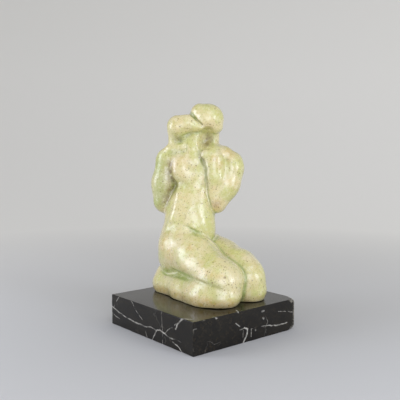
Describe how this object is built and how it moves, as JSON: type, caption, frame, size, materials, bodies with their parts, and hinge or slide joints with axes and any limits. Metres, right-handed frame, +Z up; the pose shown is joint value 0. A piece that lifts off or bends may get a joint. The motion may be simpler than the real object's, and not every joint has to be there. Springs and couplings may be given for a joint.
{
  "type": "kneeling woman sculpture",
  "caption": "Abstract kneeling nude woman in pale yellow-green glazed ceramic, arms folded to the neck and head thrown back, on a square black marble plinth.",
  "frame": {"origin": "middle of the plinth's underside, on the surface it stands on", "axes": "+Z up; the woman's knees point to -Y and her right side is towards -X"},
  "size_m": [0.13, 0.1307, 0.2214],
  "materials": {
    "glaze": "glossy, pale yellow-green with fine brown speckles",
    "marble": "polished black with white veins"
  },
  "bodies": {
    "root": {"kneeling_woman": "glaze", "marble_plinth": "marble"}
  },
  "joints": []
}
